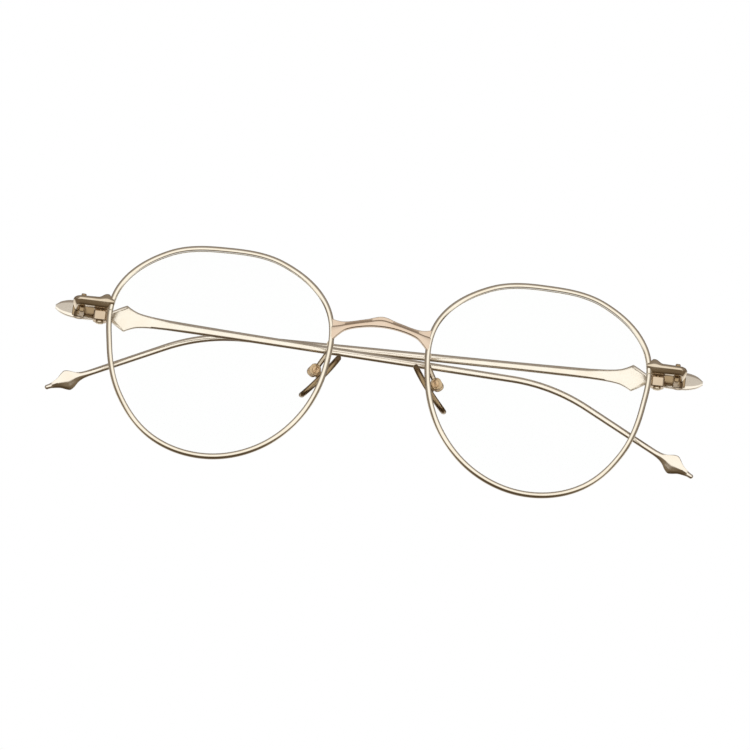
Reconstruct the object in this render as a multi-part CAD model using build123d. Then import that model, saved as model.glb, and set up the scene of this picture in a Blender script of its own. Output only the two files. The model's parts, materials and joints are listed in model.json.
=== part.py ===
from build123d import *
from math import cos, degrees, radians, sin, tan
import os

# Thin wire eyeglasses, as they are worn: +Z up, -Y the way the wearer looks, +X the wearer's left.
# Origin: the datum point midway between the two lens centres. Modelled folded, in millimetres.
# "left" and "right" are the wearer's. The left side (+X) is drawn and the right side is its mirror.

# ---- Driving dimensions ----
PUPIL_HALF = 35.5          # lens centre from the middle: 50 mm lens + 21 mm bridge, halved
WRAP = 4.0                 # each rim turns back this many degrees towards the temple
BASE_RADIUS = 140.0        # the lens is a shell of this radius, and the rim follows it
RIM_MEAN = 24.0            # rim radius that lies on the plane y = 0
# rim centreline radius every 30 degrees, from the temple side, over the brow, to the nose and under
RIM_RADII = (23.2, 26.3, 25.5, 24.0, 25.5, 26.7, 24.3, 23.3, 23.1, 23.15, 23.1, 22.6)
WIRE_R = 0.72              # eyewire round section
GROOVE_DEPTH = 0.40
LENS_THICK = 1.0
LENS_GAP = 0.05            # play round the lens in its groove
STATION = 15               # degrees between the points that the eyewire and the lens share
SPLIT_ANGLE = 18.0         # where the eyewire is cut for the closing block
SPLIT_GAP = 0.16

BRIDGE_FRONT = -3.3        # foremost line of the bridge, at the middle
BRIDGE_BOW = 55.0          # radius of its bow, seen from above
BRIDGE_THICK = 1.5
# crest and lower edge of its outline: (half width, height), before the eyewires trim the ends
BRIDGE_RISE = ((12.0, 11.3), (8.6, 10.4), (3.6, 11.35), (0.0, 12.3))
BRIDGE_FALL = ((12.0, 4.6), (9.7, 7.0), (7.8, 8.5), (4.0, 9.55), (0.0, 9.9))

TEMPLE_Z = 9.4             # height of the endpieces and the hinges
BAR_ROOT = 58.0            # inner end of the endpiece, before the eyewire trims it
BAR_END = 67.8             # outer end of the endpiece
BAR_HEIGHT = 2.3
BAR_THICK = 1.6
BAR_CORNER = 0.9
BAR_Y = 1.75               # middle of the bar, front to back
LEG_THICK = 1.5
LEG_BACK = 6.3             # rear end of the endpiece's leg
KNOB = ((58.0, -0.5), (60.0, 1.1), (61.0, 0.9), (64.0, -0.5))   # by the eyewire: (x, above the bar's top)

BLOCK_AT = (61.6, 3.85)    # closing block's screw axis
BLOCK_WIDE, BLOCK_DEEP = 3.0, 2.6
BLOCK_LOW, BLOCK_SPLIT, BLOCK_TOP = 5.6, 7.9, 10.3
BLOCK_GAP = 0.2            # between its two halves
BLOCK_CORNER = 0.5
SCREW_SHORT = 0.4          # its screw ends this far below the top
HEAD_R, HEAD_HEIGHT, SLOT_WIDTH = 0.9, 0.5, 0.28

PIVOT_X = 66.4
PIVOT_Y = 8.5
BARREL_R = 1.15
BARREL_HEIGHT = 4.2
KNUCKLE = 1.5              # height of the temple's knuckle, the middle one of three
KNUCKLE_GAP = 0.04
SCREW_R = 0.50
BORE_R = 0.55
PLATE_OFFSET = 1.7         # temple plate's inner face, from the pivot
FRONT_FOOT = (1.1, 2.9)    # front hinge's foot: thickness and length along the leg
FRONT_WEB, FRONT_WEB_SET, FRONT_WEB_BITE = 1.4, 0.4, 0.6
TEMPLE_FOOT, TEMPLE_FOOT_END = (6.6, 0.5, 2.4), 1.6   # temple hinge's foot, and its end past the pivot
TEMPLE_WEB = 1.5

TEMPLE_THICK = 1.1
TEMPLE_LENGTH = 142.4      # pivot to tip
ARROW_TIP = 5.4            # plate in front of the pivot
BEND_AT = 105.6            # where the ear bend's two straight runs would meet
BEND_ANGLE = 25.5
BEND_RADIUS = 40.0
LEFT_FOLD, LEFT_LEAN = 4.0, 0.2      # left temple folds last, over the right one
RIGHT_FOLD, RIGHT_LEAN = 1.0, -1.9   # right temple folds first, and down

PAD_CENTRE = (11.9, 6.6, -0.3)
PAD_LENGTH, PAD_WIDTH, PAD_THICK = 13.0, 6.0, 1.0
PAD_SLANT = 37.0           # pad's long axis from the vertical
PAD_SPLAY = 11.0           # the rear edges stand further apart
PAD_BOW = 40.0             # radius of the plate, which bulges towards the nose
PAD_ARM_R = 0.6
PAD_ARM_AT = 168.0         # angle round the eyewire where the pad arm starts
PAD_ARM_BEND = 2.0
PAD_ARM_SET = 0.58         # its root behind the eyewire's centreline
PAD_ARM_RISE = 0.7
PAD_PIVOT = 2.0            # pad's screw, out from the middle of its plate
PAD_BOX_LOW, PAD_BOX_TOP = 0.95, 3.4
PAD_BOX_LONG, PAD_BOX_WIDE, PAD_BOX_CORNER = 2.6, 3.0, 0.4
PAD_SLOT_HIGH = 2.0
LUG_THICK, LUG_R, LUG_PLAY = 1.1, 0.8, 0.12
PAD_SCREW_R, PAD_SCREW_PLAY = 0.4, 0.06
PAD_HEAD_R, PAD_HEAD_HEIGHT = 0.75, 0.4

THROUGH = 24.0             # longer than anything that a cutter goes through

os.makedirs("parts", exist_ok=True)


def save(name, shape):
    shape.label = name
    export_step(shape, f"parts/{name}.step")


def both_sides(name, shape):
    save(f"{name}_left", shape)
    save(f"{name}_right", mirror(shape, about=Plane.YZ))


# ---- Eyewires and lenses ----
def rim_radius(angle):
    """Centreline radius at an angle in degrees: a closed cubic through the twelve driving radii."""
    step = 360 / len(RIM_RADII)
    k = int(angle // step)
    t = angle / step - k
    a, b, c, d = (RIM_RADII[(k + i) % len(RIM_RADII)] for i in (-1, 0, 1, 2))
    return b + 0.5 * t * (c - a + t * (2 * a - 5 * b + 4 * c - d + t * (3 * (b - c) + d - a)))


def rim_point(angle, inset=0.0):
    r = rim_radius(angle % 360) - inset
    y = (r * r - RIM_MEAN**2) / (2 * BASE_RADIUS)
    return Vector(r * cos(radians(angle)), y, r * sin(radians(angle)))


RIM_PLACE = Pos(PUPIL_HALF, 0, 0) * Rot(0, 0, WRAP)


def prism(inset):
    """The lens outline, inset from the eyewire's centreline, as a straight block front to back."""
    points = [rim_point(SPLIT_ANGLE + STATION * i, inset) for i in range(360 // STATION)]
    outline = Spline(*[Vector(p.X, 0, p.Z) for p in points], periodic=True)
    return extrude(make_face(outline), amount=THROUGH / 2, dir=(0, 1, 0), both=True)


def shell(thickness):
    """A spherical skin on the base curve."""
    centre = Pos(0, BASE_RADIUS - RIM_MEAN**2 / (2 * BASE_RADIUS), 0)
    return centre * (Sphere(BASE_RADIUS + thickness / 2) - Sphere(BASE_RADIUS - thickness / 2))


def lens(grow=0.0):
    """The lens, or with grow the slightly larger space that it sits in."""
    edge = WIRE_R - GROOVE_DEPTH + LENS_GAP - grow
    return prism(edge) & shell(LENS_THICK + 2 * grow)


def eyewire():
    """Round wire with a lens groove, one open loop from just above the split to just below it."""
    half_gap = degrees(SPLIT_GAP / 2 / RIM_MEAN)
    first, last = SPLIT_ANGLE + half_gap, SPLIT_ANGLE + 360 - half_gap
    stations = [first] + [SPLIT_ANGLE + STATION * i for i in range(1, 360 // STATION)] + [last]
    path = Spline(*[rim_point(a) for a in stations])
    section = Plane(origin=path @ 0, z_dir=path % 0) * Circle(WIRE_R)
    return sweep(section, path=path) - lens(LENS_GAP)


rim_left = RIM_PLACE * eyewire()
rim_right = mirror(rim_left, about=Plane.YZ)
core_left = RIM_PLACE * prism(0)
core_right = mirror(core_left, about=Plane.YZ)
both_sides("rim", rim_left)
both_sides("lens", RIM_PLACE * lens())


# ---- Bridge: a thin arched plate whose two ends flare up and down the eyewires ----
def bridge():
    top = Spline(*[(-x, z) for x, z in BRIDGE_RISE], *reversed(BRIDGE_RISE[:-1]))
    low = Spline(*BRIDGE_FALL, *[(-x, z) for x, z in reversed(BRIDGE_FALL[:-1])])
    outline = make_face(top + Line(top @ 1, low @ 0) + low + Line(low @ 1, top @ 0))
    blank = extrude(Plane.XZ * outline, amount=THROUGH / 2, both=True)
    bow = Cylinder(BRIDGE_BOW, 2 * THROUGH) - Cylinder(BRIDGE_BOW - BRIDGE_THICK, 2 * THROUGH)
    plate = blank & (Pos(0, BRIDGE_FRONT + BRIDGE_BOW, 0) * bow)
    return plate - core_left - core_right - rim_left - rim_right


# ---- Endpiece: a bar out from the eyewire that turns back as a leg for the hinge ----
def endpiece():
    front, back = BAR_Y - BAR_THICK / 2, BAR_Y + BAR_THICK / 2
    inner = BAR_END - LEG_THICK
    low, high = TEMPLE_Z - BAR_HEIGHT / 2, TEMPLE_Z + BAR_HEIGHT / 2
    plan = Polyline((BAR_ROOT, front), (BAR_END, front), (BAR_END, LEG_BACK), (inner, LEG_BACK),
                    (inner, back), (BAR_ROOT, back), close=True)
    bar = extrude(Pos(0, 0, low) * make_face(plan), amount=BAR_HEIGHT)
    corner = bar.edges().filter_by(Axis.Z).sort_by(lambda e: e.center().X - e.center().Y)[-1]
    bar = fillet(corner, BAR_CORNER)
    flare = Polyline(*[(x, high + z) for x, z in KNOB], close=True)
    knob = extrude(Plane.XZ * make_face(flare), amount=-BAR_THICK)
    return bar + Pos(0, front, 0) * knob - core_left - rim_left


# ---- Closing block: two halves behind the bar, one on each end of the eyewire, and their screw ----
def closing_half(low, high):
    block = Box(BLOCK_WIDE, BLOCK_DEEP, high - low, align=(Align.CENTER, Align.CENTER, Align.MIN))
    block = fillet(block.edges().filter_by(Axis.Z), BLOCK_CORNER)
    return Pos(*BLOCK_AT, low) * (block - Cylinder(SCREW_R, THROUGH)) - rim_left


def closing_screw():
    """Slotted screw up through both halves, head below."""
    length = BLOCK_TOP - BLOCK_LOW - SCREW_SHORT
    shaft = Cylinder(SCREW_R, length, align=(Align.CENTER, Align.CENTER, Align.MIN))
    return Pos(*BLOCK_AT, BLOCK_LOW) * (shaft + Rot(180, 0, 0) * slotted_head(HEAD_R, HEAD_HEIGHT))


def slotted_head(radius, height):
    """A screw's head, standing on z = 0 with its slot on top."""
    head = Cylinder(radius, height, align=(Align.CENTER, Align.CENTER, Align.MIN))
    return head - Pos(0, 0, height) * Box(3 * radius, SLOT_WIDTH, height)


save("bridge", bridge())
end_left = endpiece()
both_sides("endpiece", end_left)
both_sides("closing_block_upper", closing_half(BLOCK_SPLIT + BLOCK_GAP / 2, BLOCK_TOP) - end_left)
both_sides("closing_block_lower", closing_half(BLOCK_LOW, BLOCK_SPLIT - BLOCK_GAP / 2))
both_sides("closing_screw", closing_screw())


# ---- Hinges: three knuckles on a slightly leaning pin; each side has its own fold and lean ----
PIVOT = Pos(PIVOT_X, PIVOT_Y, TEMPLE_Z)
MIDDLE = KNUCKLE / 2
OUTER = (BARREL_HEIGHT - KNUCKLE) / 2 - KNUCKLE_GAP


def knuckle(low, height, bore):
    ring = Cylinder(BARREL_R, height) - Cylinder(bore, height)
    return Pos(0, 0, low + height / 2) * ring


def front_hinge():
    """Two knuckles joined to a foot on the inner side of the endpiece's leg."""
    inner = BAR_END - LEG_THICK - PIVOT_X
    back = LEG_BACK - PIVOT_Y
    foot = Box(*FRONT_FOOT, BARREL_HEIGHT, align=(Align.MAX, Align.MAX, Align.CENTER))
    half = Pos(inner, back, 0) * foot
    for low, bore in ((MIDDLE + KNUCKLE_GAP, BORE_R), (-MIDDLE - KNUCKLE_GAP - OUTER, SCREW_R)):
        web = Box(FRONT_WEB, FRONT_WEB_BITE - back, OUTER, align=(Align.CENTER, Align.MIN, Align.MIN))
        web = Pos(-FRONT_WEB_SET, back - FRONT_WEB_BITE, low) * web - Cylinder(bore, THROUGH)
        half += knuckle(low, OUTER, bore) + web
    return half


def temple_hinge():
    """The middle knuckle, on a foot along the temple's inner face."""
    foot = Box(*TEMPLE_FOOT, align=(Align.MAX, Align.MAX, Align.CENTER))
    web = Box(TEMPLE_WEB, PLATE_OFFSET, KNUCKLE, align=(Align.CENTER, Align.MIN, Align.CENTER))
    web -= Cylinder(BORE_R, THROUGH)
    return knuckle(-MIDDLE, KNUCKLE, BORE_R) + web + Pos(TEMPLE_FOOT_END, PLATE_OFFSET, 0) * foot


def hinge_screw():
    half = BARREL_HEIGHT / 2
    shaft = Pos(0, 0, -half) * Cylinder(SCREW_R, 2 * half, align=(Align.CENTER, Align.CENTER, Align.MIN))
    return shaft + Pos(0, 0, half) * slotted_head(HEAD_R, HEAD_HEIGHT)


# ---- Temples: arrowhead plate, kite, tapering wire, ear bend and spear tip ----
# (distance from the pivot, half height)
ARROW = ((-ARROW_TIP, 0.30), (-4.2, 1.35), (-2.2, 2.20), (0.3, 2.35), (3.2, 1.75), (6.0, 0.95))
KITE = ((6.0, 0.95), (8.2, 1.95), (10.2, 3.00), (12.3, 2.05), (14.5, 1.45))
WIRE = ((14.5, 1.45), (19.5, 1.15), (37.0, 0.98), (70.0, 0.88), (96.0, 0.78), (102.0, 0.76), (108.0, 0.75),
        (114.0, 0.74), (122.0, 0.72), (TEMPLE_LENGTH - 10, 0.68))
SPEAR = tuple((TEMPLE_LENGTH - back, half) for back, half in (
    (10.0, 0.68), (8.2, 0.95), (6.3, 1.70), (5.0, 2.10), (3.9, 1.55), (2.6, 0.75), (1.1, 0.50)))


def along_temple(s, t):
    """The point at s along the temple's middle line and t above it."""
    turn = radians(BEND_ANGLE)
    first = BEND_AT - BEND_RADIUS * tan(turn / 2)
    if s <= first:
        return (s, t)
    a = min((s - first) / BEND_RADIUS, turn)
    rest = s - first - BEND_RADIUS * a
    x = first + BEND_RADIUS * sin(a) + rest * cos(a)
    z = -BEND_RADIUS * (1 - cos(a)) - rest * sin(a)
    return (x + t * sin(a), z + t * cos(a))


def temple():
    runs = (ARROW, KITE, WIRE, SPEAR)
    upper = [Spline(*[along_temple(s, t) for s, t in run]) for run in runs]
    lower = [Spline(*[along_temple(s, -t) for s, t in run]) for run in runs]
    nose = ThreePointArc(lower[0] @ 0, (-ARROW_TIP - 0.1, 0), upper[0] @ 0)
    tip = ThreePointArc(upper[-1] @ 1, along_temple(TEMPLE_LENGTH, 0), lower[-1] @ 1)
    outline = make_face(Wire([*upper, *lower, nose, tip]))
    face = Plane(origin=(0, PLATE_OFFSET, 0), x_dir=(-1, 0, 0), z_dir=(0, 1, 0)) * outline
    return extrude(face, amount=TEMPLE_THICK)


hinge_front, hinge_temple, pin, arm = front_hinge(), temple_hinge(), hinge_screw(), temple()
for side, fold, lean in (("left", LEFT_FOLD, LEFT_LEAN), ("right", RIGHT_FOLD, RIGHT_LEAN)):
    leaning = PIVOT * Rot(0, lean, 0)
    folded = leaning * Rot(0, 0, -fold)
    placed = {
        "hinge_front": leaning * hinge_front - end_left,
        "hinge_screw": leaning * pin,
        "hinge_temple": folded * hinge_temple,
        "temple": folded * arm,
    }
    for name, shape in placed.items():
        save(f"{name}_{side}", shape if side == "left" else mirror(shape, about=Plane.YZ))


# ---- Nose pads: a metal plate with a lug, rocking on a screw in a box at the end of a wire arm ----
slant, splay = radians(PAD_SLANT), radians(PAD_SPLAY)
outward = Vector(cos(splay) * cos(slant), -sin(splay), cos(splay) * sin(slant))
pad_place = Plane(origin=PAD_CENTRE, x_dir=(-sin(slant), 0, cos(slant)), z_dir=outward)
cross = Rot(-90, 0, 0)


def nose_pad():
    outer, inner = PAD_BOW + PAD_THICK / 2, PAD_BOW - PAD_THICK / 2
    bow = Pos(0, 0, PAD_BOW) * cross * (Cylinder(outer, 2 * PAD_WIDTH) - Cylinder(inner, 2 * PAD_WIDTH))
    plate = extrude(Ellipse(PAD_LENGTH / 2, PAD_WIDTH / 2), amount=2 * PAD_THICK, both=True) & bow
    lug = Box(2 * LUG_R, LUG_THICK, PAD_PIVOT, align=(Align.CENTER, Align.CENTER, Align.MIN))
    lug += Pos(0, 0, PAD_PIVOT) * cross * Cylinder(LUG_R, LUG_THICK)
    return plate + lug - Pos(0, 0, PAD_PIVOT) * cross * Cylinder(PAD_SCREW_R + PAD_SCREW_PLAY, THROUGH)


def pad_box():
    size = (PAD_BOX_LONG, PAD_BOX_WIDE, PAD_BOX_TOP - PAD_BOX_LOW)
    box = Box(*size, align=(Align.CENTER, Align.CENTER, Align.MIN))
    box = fillet(box.edges().filter_by(Axis.Z) + box.faces().sort_by(Axis.Z)[-1].edges(), PAD_BOX_CORNER)
    slot_size = (THROUGH, LUG_THICK + 2 * LUG_PLAY, PAD_SLOT_HIGH)
    slot = Box(*slot_size, align=(Align.CENTER, Align.CENTER, Align.MIN))
    bore = Pos(0, 0, PAD_PIVOT) * cross * Cylinder(PAD_SCREW_R, THROUGH)
    return Pos(0, 0, PAD_BOX_LOW) * (box - slot) - bore


def pad_screw():
    shaft = Cylinder(PAD_SCREW_R, PAD_BOX_WIDE)
    head = Pos(0, 0, PAD_BOX_WIDE / 2) * slotted_head(PAD_HEAD_R, PAD_HEAD_HEIGHT)
    return Pos(0, 0, PAD_PIVOT) * cross * (shaft + head)


def pad_arm():
    """From the back of the eyewire, straight back, then down into the upper end of the box."""
    end = pad_place.from_local_coords((PAD_BOX_LONG / 2, 0, (PAD_BOX_LOW + PAD_BOX_TOP) / 2))
    root = (RIM_PLACE * Pos(rim_point(PAD_ARM_AT)) * Pos(0, PAD_ARM_SET, 0)).position
    path = FilletPolyline(root, (root.X, end.Y, root.Z + PAD_ARM_RISE), end, radius=PAD_ARM_BEND)
    section = Plane(origin=path @ 0, z_dir=path % 0) * Circle(PAD_ARM_R)
    return sweep(section, path=path)


box_left = pad_place * pad_box()
both_sides("nose_pad", pad_place * nose_pad())
both_sides("pad_box", box_left)
both_sides("pad_screw", pad_place * pad_screw())
both_sides("pad_arm", (pad_arm() - rim_left - box_left).solids().sort_by(SortBy.VOLUME)[-1])
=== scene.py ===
import json
from math import asin, ceil, copysign, cos, degrees, hypot, pi, radians, sin, sqrt, tan

import bpy
from mathutils import Matrix, Vector


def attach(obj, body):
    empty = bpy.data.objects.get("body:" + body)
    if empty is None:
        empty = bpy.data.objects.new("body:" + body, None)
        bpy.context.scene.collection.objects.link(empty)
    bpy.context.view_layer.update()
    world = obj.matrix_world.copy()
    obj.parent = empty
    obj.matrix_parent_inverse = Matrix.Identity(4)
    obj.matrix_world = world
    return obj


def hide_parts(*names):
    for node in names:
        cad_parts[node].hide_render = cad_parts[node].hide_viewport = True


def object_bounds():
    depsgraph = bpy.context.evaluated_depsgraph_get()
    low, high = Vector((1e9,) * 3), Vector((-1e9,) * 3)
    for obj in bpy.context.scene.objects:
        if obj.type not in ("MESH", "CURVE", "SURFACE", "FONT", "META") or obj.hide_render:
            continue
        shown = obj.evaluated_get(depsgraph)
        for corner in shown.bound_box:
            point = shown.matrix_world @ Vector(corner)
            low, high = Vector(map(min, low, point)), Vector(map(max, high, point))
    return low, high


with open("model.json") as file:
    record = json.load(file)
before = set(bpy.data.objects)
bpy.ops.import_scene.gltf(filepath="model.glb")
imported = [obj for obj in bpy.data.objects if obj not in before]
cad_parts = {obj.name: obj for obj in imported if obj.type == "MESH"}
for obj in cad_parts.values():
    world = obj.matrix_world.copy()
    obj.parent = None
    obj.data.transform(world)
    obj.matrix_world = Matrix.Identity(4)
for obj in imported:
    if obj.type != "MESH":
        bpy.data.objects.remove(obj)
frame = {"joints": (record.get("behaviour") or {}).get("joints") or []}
CAD_LOW, CAD_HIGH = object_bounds()

# Lengths below are millimetres and angles degrees, in the CAD's frame: +Z up, -Y the way the wearer looks,
# +X the wearer's left. Meshes are written in metres.
MM = 0.001
JOINTS = {joint["name"]: joint for joint in frame["joints"]}

# ---- Sizes shared with the CAD, or marked where the piece here differs ----
PUPIL_HALF, WRAP = 35.5, 4.0
BASE_RADIUS, RIM_MEAN = 140.0, 24.0
RIM_RADII = (23.2, 26.3, 25.5, 24.0, 25.5, 26.7, 24.3, 23.3, 23.1, 23.15, 23.1, 22.6)
WIRE_R, GROOVE_DEPTH = 0.72, 0.40
LENS_THICK, LENS_GAP = 1.0, 0.05
GROOVE_EDGE = (0.08, 0.1)  # the slope at the foot of the groove's walls
LENS_BEVEL = (0.006, 0.14)  # share of the radius, and depth
SPLIT_ANGLE, SPLIT_GAP = 18.0, 0.16
BRIDGE_FRONT, BRIDGE_BOW, BRIDGE_THICK = -3.3, 55.0, 1.5
TEMPLE_Z = 9.4
BAR_END, BAR_HEIGHT, BAR_THICK, BAR_Y = 67.8, 2.3, 1.6, 1.75
LEG_THICK, LEG_BACK = 1.5, 6.3
BLOCK_AT = (61.6, 3.85)
BLOCK_WIDE, BLOCK_DEEP = 3.0, 2.6
BLOCK_LOW, BLOCK_SPLIT, BLOCK_TOP = 5.6, 7.9, 10.3
BLOCK_GAP, BLOCK_CORNER, BLOCK_EDGE = 0.1, 0.55, 0.18
SCREW_SHORT = 0.4          # a closing screw's shaft ends this much below the block's top
HEAD_R, HEAD_HEIGHT = 0.9, 0.5
PIN_HEAD_R, PIN_HEAD_HEIGHT = 0.8, 0.18    # a hinge screw's head, smaller and lower than the CAD's
BARREL_R, BARREL_HEIGHT, KNUCKLE, KNUCKLE_GAP = 1.15, 4.2, 1.5, 0.04
SCREW_R, BORE_R = 0.50, 0.55
PLATE_OFFSET, TEMPLE_THICK = 1.7, 1.1
TEMPLE_LENGTH, ARROW_TIP = 142.4, 5.4
BEND_AT, BEND_ANGLE, BEND_RADIUS = 105.6, 25.5, 40.0
FOLD = {"left": 4.0, "right": 1.0}
LEAN = {"left": 0.2, "right": -1.9}
PAD_LENGTH, PAD_WIDTH, PAD_THICK = 12.8, 6.0, 1.25    # 0.2 shorter and 0.25 thicker than the CAD's
PAD_BOW = 60.0             # flatter than the CAD's
PAD_SLANT, PAD_SPLAY, PAD_PIVOT = 37.0, 11.0, 2.0
PAD_ARM_SET, PAD_ARM_RISE = 0.6, 0.7       # its start, in wire radii behind the eyewire's middle; its climb
PAD_ARM_R, PAD_ARM_AT, PAD_ARM_BEND = 0.6, 168.0, 2.0
PAD_BOX_LOW, PAD_BOX_TOP, PAD_BOX_LONG, PAD_BOX_WIDE = 0.95, 3.4, 2.6, 3.0
PAD_BOX_ROUND = 1.05       # rounder than the CAD's
PAD_SLOT_HIGH = 2.0
LUG_THICK, LUG_R, LUG_PLAY, PAD_SCREW_R = 1.1, 0.8, 0.12, 0.4
PAD_HEAD_R, PAD_HEAD_HEIGHT = 0.82, 0.4    # 0.07 wider than the CAD's

SIDES = ("left", "right")


def in_mm(point):
    return Vector(point) / MM


PIVOT = in_mm(JOINTS["temple_left_hinge"]["pos_m"])
PAD_HINGE = in_mm(JOINTS["pad_left_rock"]["pos_m"])


# ---- Mesh helpers ----
def make_piece(name, points, faces, side, material, slot, body, stands_for, sharp=38.0):
    """A mesh piece from points in millimetres on the wearer's left; the right one is its mirror image."""
    flip = side == "right"
    vertices = [((-p[0] if flip else p[0]) * MM, p[1] * MM, p[2] * MM) for p in points]
    mesh = bpy.data.meshes.new(name)
    mesh.from_pydata(vertices, [], [tuple(reversed(f)) if flip else tuple(f) for f in faces])
    mesh.validate()
    mesh.shade_smooth()
    mesh.set_sharp_from_angle(angle=radians(sharp))
    piece = bpy.data.objects.new(name, mesh)
    bpy.context.scene.collection.objects.link(piece)
    mesh.materials.append(material)
    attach(piece, body)
    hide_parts(*stands_for)
    return piece


def skin(rings, closed=False, caps=True):
    """Points and faces of a surface through rings of equally many points."""
    points = [p for ring in rings for p in ring]
    size, count = len(rings[0]), len(rings)
    faces = []
    for i in range(count if closed else count - 1):
        a, b = i * size, ((i + 1) % count) * size
        for k in range(size):
            n = (k + 1) % size
            faces.append((a + k, a + n, b + n, b + k))
    if caps and not closed:
        faces.append(tuple(range(size - 1, -1, -1)))
        faces.append(tuple((count - 1) * size + k for k in range(size)))
    return points, faces


def joined(*parts):
    """Several (points, faces) pairs as one."""
    points, faces = [], []
    for more_points, more_faces in parts:
        start = len(points)
        points += more_points
        faces += [tuple(start + k for k in face) for face in more_faces]
    return points, faces


def moved(part, matrix):
    points, faces = part
    return [matrix @ Vector(p) for p in points], faces


def frames_along(path, up):
    """(point, across, up) at each point of a path, with across and up square to its direction."""
    result = []
    for i, point in enumerate(path):
        ahead = (path[min(i + 1, len(path) - 1)] - path[max(i - 1, 0)]).normalized()
        across = ahead.cross(up).normalized()
        result.append((point, across, across.cross(ahead)))
    return result


def tube(path, radius, up, sides=24, close=False):
    """A round wire along a path. radius is a number or a function of the share of the path's length."""
    rings = []
    last = len(path) - 1
    for i, (point, across, upward) in enumerate(frames_along(path, up)):
        r = radius(i / last) if callable(radius) else radius
        rings.append([point + r * (cos(2 * pi * k / sides) * across + sin(2 * pi * k / sides) * upward)
                      for k in range(sides)])
    return skin(rings, closed=close)


def lathe(profile, sides=40):
    """A turned shape about Z from (radius, height) points; it closes at the ends where the radius is 0."""
    rings = [[Vector((r * cos(2 * pi * k / sides), r * sin(2 * pi * k / sides), z)) for k in range(sides)]
             for r, z in profile]
    return skin(rings)


def ring_lathe(profile, sides=40):
    """A turned shape with a hole: the profile is a closed loop away from the axis."""
    rings = []
    for k in range(sides):
        a = 2 * pi * k / sides
        rings.append([Vector((r * cos(a), r * sin(a), z)) for r, z in profile])
    return skin(rings, closed=True)


def rounded_section(half_wide, half_high, corner, steps=4):
    """A rectangle with round corners, anticlockwise, as (across, up) pairs."""
    pairs = []
    for quarter, (sx, sz) in enumerate(((1, 1), (-1, 1), (-1, -1), (1, -1))):
        for i in range(steps + 1):
            a = radians(90 * quarter + 90 * i / steps)
            pairs.append((sx * (half_wide - corner) + corner * cos(a),
                          sz * (half_high - corner) + corner * sin(a)))
    return pairs


def soft_box(size, centre, corner):
    """A block whose twelve edges are rounded: stacked rounded sections that draw in at both ends."""
    half = [s / 2 for s in size]
    rings = []
    for z, draw in soft_heights(half[2], corner):
        section = rounded_section(half[0] - draw, half[1] - draw, max(corner - draw, 0.02))
        rings.append([Vector(centre) + Vector((x, y, z)) for x, y in section])
    return skin(rings)


def soft_heights(half, corner, steps=4):
    """(height, how far the section draws in) over a block with rounded ends."""
    low = [(-half + corner * (1 - sin(radians(90 * i / steps))), corner * (1 - cos(radians(90 * i / steps))))
           for i in range(steps, -1, -1)]
    return low + [(-z, d) for z, d in reversed(low)]


def smooth(low, high, value):
    t = min(max((value - low) / (high - low), 0.0), 1.0)
    return t * t * (3 - 2 * t)


# ---- Materials ----
CLOUD_SCALE, SCRATCH_SCALE, SMEAR_SCALE = 260, 2600, 60    # noise, per metre
SCRATCH_BUMP, SCRATCH_DEPTH = 0.10, 0.00002                # strength, and height in metres
LENS_IOR = 1.10            # a thin mirror film: it shows at a grazing angle only


def new_material(name):
    material = bpy.data.materials.new(name)
    material.use_nodes = True
    nodes, links = material.node_tree.nodes, material.node_tree.links
    return material, nodes, links, nodes["Principled BSDF"]


def noise(nodes, links, coordinate, scale, detail=3.0, stretch=(1, 1, 1)):
    mapping = nodes.new("ShaderNodeMapping")
    mapping.inputs["Scale"].default_value = stretch
    texture = nodes.new("ShaderNodeTexNoise")
    texture.inputs["Scale"].default_value = scale
    texture.inputs["Detail"].default_value = detail
    links.new(coordinate, mapping.inputs["Vector"])
    links.new(mapping.outputs[0], texture.inputs["Vector"])
    return texture.outputs["Fac"]


def ramp(nodes, links, value, low, high, to_low, to_high):
    node = nodes.new("ShaderNodeMapRange")
    for socket, number in (("From Min", low), ("From Max", high), ("To Min", to_low), ("To Max", to_high)):
        node.inputs[socket].default_value = number
    links.new(value, node.inputs["Value"])
    return node.outputs["Result"]


def maths(nodes, links, operation, first, second):
    """One step of arithmetic on two values, each a socket or a plain number."""
    node = nodes.new("ShaderNodeMath")
    node.operation = operation
    for socket, value in zip(node.inputs, (first, second)):
        if isinstance(value, bpy.types.NodeSocket):
            links.new(value, socket)
        else:
            socket.default_value = value
    return node.outputs[0]


def mixed_surface(nodes, links, share, first, second):
    """Gives the material a mix of two shaders."""
    mix = nodes.new("ShaderNodeMixShader")
    for socket, source in zip(mix.inputs, (share, first.outputs[0], second.outputs[0])):
        links.new(source, socket)
    links.new(mix.outputs[0], nodes["Material Output"].inputs["Surface"])


def blend_colours(nodes, links, share, first, second):
    node = nodes.new("ShaderNodeMix")
    node.data_type = "RGBA"
    for socket, colour in ((node.inputs[6], first), (node.inputs[7], second)):
        if isinstance(colour, bpy.types.NodeSocket):
            links.new(colour, socket)
        else:
            socket.default_value = (*colour, 1)
    links.new(share, node.inputs[0])
    return node.outputs[2]


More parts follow.
